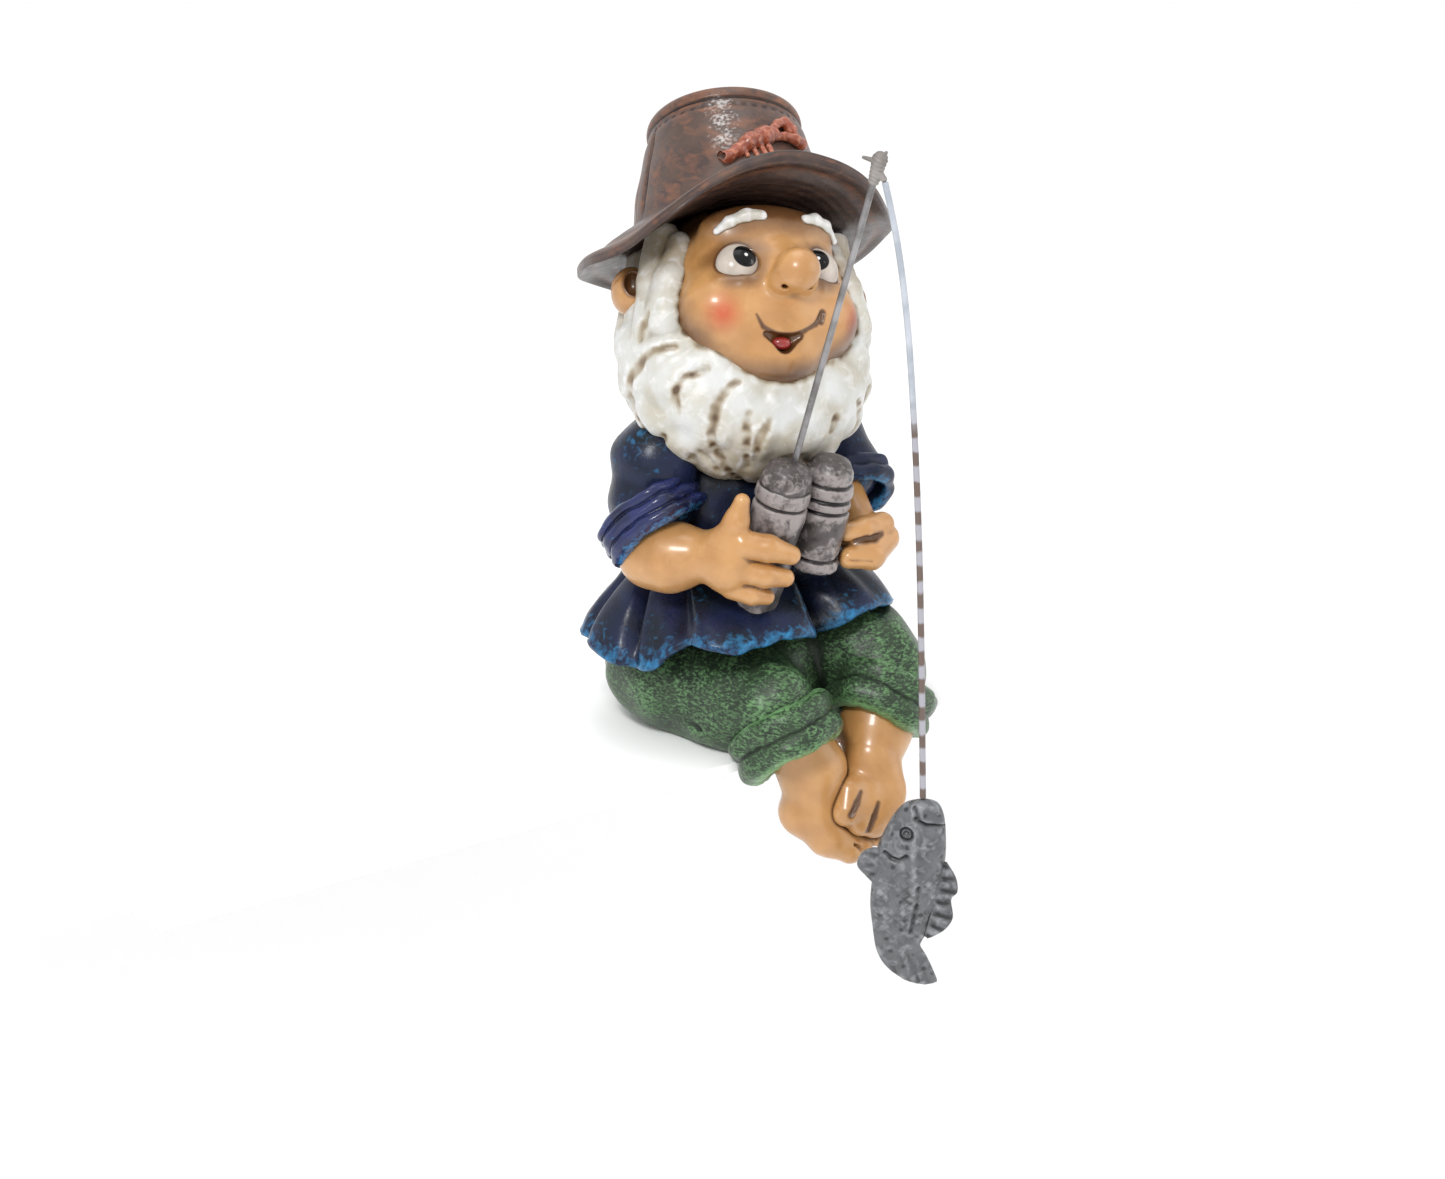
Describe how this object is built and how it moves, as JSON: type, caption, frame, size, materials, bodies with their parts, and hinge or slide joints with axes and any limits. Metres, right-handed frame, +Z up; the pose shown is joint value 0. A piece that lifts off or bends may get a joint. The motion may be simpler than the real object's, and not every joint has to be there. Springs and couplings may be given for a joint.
{
  "type": "garden gnome",
  "caption": "Seated shelf-edge garden gnome in a brimmed hat, holding binoculars and a wire fishing rod whose line carries a small fish.",
  "frame": {"origin": "middle of the flat seat underside, on the plane of the shelf that it sits on", "axes": "+Z up, -Y the way the gnome faces, +X towards the gnome's left"},
  "size_m": [0.0431, 0.0623, 0.1008],
  "materials": {
    "trouser_paint": "painted resin, green over a dark wash",
    "skin_paint": "painted resin, satin skin tone",
    "tongue_paint": "painted resin, red",
    "eye_paint": "painted resin, glossy white with a black pupil",
    "beard_paint": "painted resin, white with brown in the grooves",
    "hat_paint": "painted resin, brown with a rust dry brush",
    "ornament_paint": "painted resin, copper orange",
    "tunic_paint": "painted resin, navy with lighter blue edges",
    "pewter_paint": "painted resin, pewter grey with dark grooves",
    "wire": "drawn wire",
    "line_nylon": "braided nylon",
    "fish_paint": "painted resin, grey with dark speckles",
    "fish_eye_paint": "painted resin, black"
  },
  "bodies": {
    "figure": {"trousers": "trouser_paint", "right_trouser_cuff": "trouser_paint", "left_trouser_cuff": "trouser_paint", "right_foot": "skin_paint", "left_foot": "skin_paint", "head": "skin_paint", "nose": "skin_paint", "right_ear": "skin_paint", "left_ear": "skin_paint", "right_hand": "skin_paint", "left_hand": "skin_paint", "tongue": "tongue_paint", "right_eye": "eye_paint", "left_eye": "eye_paint", "right_eyebrow": "beard_paint", "left_eyebrow": "beard_paint", "beard": "beard_paint", "hair": "beard_paint", "hat_brim": "hat_paint", "hat_crown": "hat_paint", "hat_ornament": "ornament_paint", "tunic": "tunic_paint", "right_sleeve": "tunic_paint", "left_sleeve": "tunic_paint", "right_sleeve_cuff": "tunic_paint", "left_sleeve_cuff": "tunic_paint", "right_barrel": "pewter_paint", "left_barrel": "pewter_paint", "barrel_bridge": "pewter_paint"},
    "rod": {"rod_wire": "wire"},
    "knot": {"tip_knot": "line_nylon"},
    "line": {"fishing_line": "line_nylon"},
    "fish": {"fish_body": "fish_paint", "near_fin": "fish_paint", "far_fin": "fish_paint", "fish_tail": "fish_paint", "fish_eye": "fish_eye_paint"}
  },
  "joints": [
    {"name": "rod_pull", "type": "slide", "parent": "figure", "child": "rod", "axis": [0.0689, -0.2955, 0.9529], "range_m": [0, 0.01]},
    {"name": "line_sway", "type": "hinge", "parent": "rod", "child": "knot", "pos_m": [-0.00154, -0.02422, 0.0728], "axis": [0, 1, 0], "range_deg": [-15, 15], "stiffness_Nm_per_rad": 0.001},
    {"name": "line_swing", "type": "hinge", "parent": "knot", "child": "line", "pos_m": [-0.00154, -0.02422, 0.0728], "axis": [1, 0, 0], "range_deg": [-30, 1.5], "stiffness_Nm_per_rad": 0.001},
    {"name": "fish_swing", "type": "hinge", "parent": "line", "child": "fish", "pos_m": [0.00045, -0.03175, -0.0012], "axis": [0, 1, 0], "range_deg": [-30, 30]}
  ]
}
